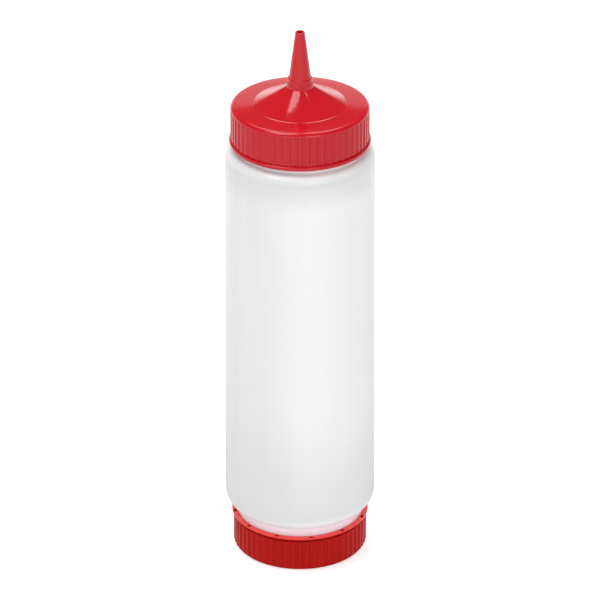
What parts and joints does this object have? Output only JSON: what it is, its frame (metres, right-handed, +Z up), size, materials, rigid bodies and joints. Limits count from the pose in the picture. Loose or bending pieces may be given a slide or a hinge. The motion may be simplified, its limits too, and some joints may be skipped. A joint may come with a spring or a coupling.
{
  "type": "squeeze bottle",
  "caption": "Dual-ended squeeze bottle: translucent body with a screw cap carrying a cone spout on top and a flat ribbed screw cap below to stand and refill on.",
  "frame": {"origin": "on the bottle's axis, on the flat underside of the refill cap that it stands on", "axes": "+Z up along the bottle's axis towards the spout, -Y towards the camera of the picture"},
  "size_m": [0.0726, 0.0726, 0.2715],
  "materials": {
    "natural_plastic": "frosted, translucent natural polyethylene, satin",
    "red_spout_plastic": "glossy bright red, moulded",
    "red_base_plastic": "semi-gloss deep red, moulded",
    "seal_foam": "matte off-white sealing foam"
  },
  "bodies": {
    "bottle": {"bottle_body": "natural_plastic"},
    "upper_seal": {"upper_seal_ring": "seal_foam"},
    "dispensing_cap": {"dispensing_cap": "red_spout_plastic"},
    "lower_seal": {"lower_seal_ring": "seal_foam"},
    "refill_cap": {"refill_cap": "red_base_plastic"}
  },
  "joints": [
    {"name": "upper_cap_lift", "type": "slide", "parent": "bottle", "child": "upper_seal", "axis": [0, 0, 1], "range_m": [0, 0.0176]},
    {"name": "upper_cap_turn", "type": "hinge", "parent": "upper_seal", "child": "dispensing_cap", "pos_m": [0, 0, 0.22], "axis": [0, 0, 1], "range_deg": [0, 1260]},
    {"name": "lower_cap_drop", "type": "slide", "parent": "bottle", "child": "lower_seal", "axis": [0, 0, -1], "range_m": [0, 0.0176]},
    {"name": "lower_cap_turn", "type": "hinge", "parent": "lower_seal", "child": "refill_cap", "pos_m": [0, 0, 0.01], "axis": [0, 0, -1], "range_deg": [0, 1260]}
  ],
  "couplings": [
    {"joint": "upper_cap_lift", "follows": "upper_cap_turn", "m_per_rad": 0.00079577},
    {"joint": "lower_cap_drop", "follows": "lower_cap_turn", "m_per_rad": 0.00079577}
  ]
}
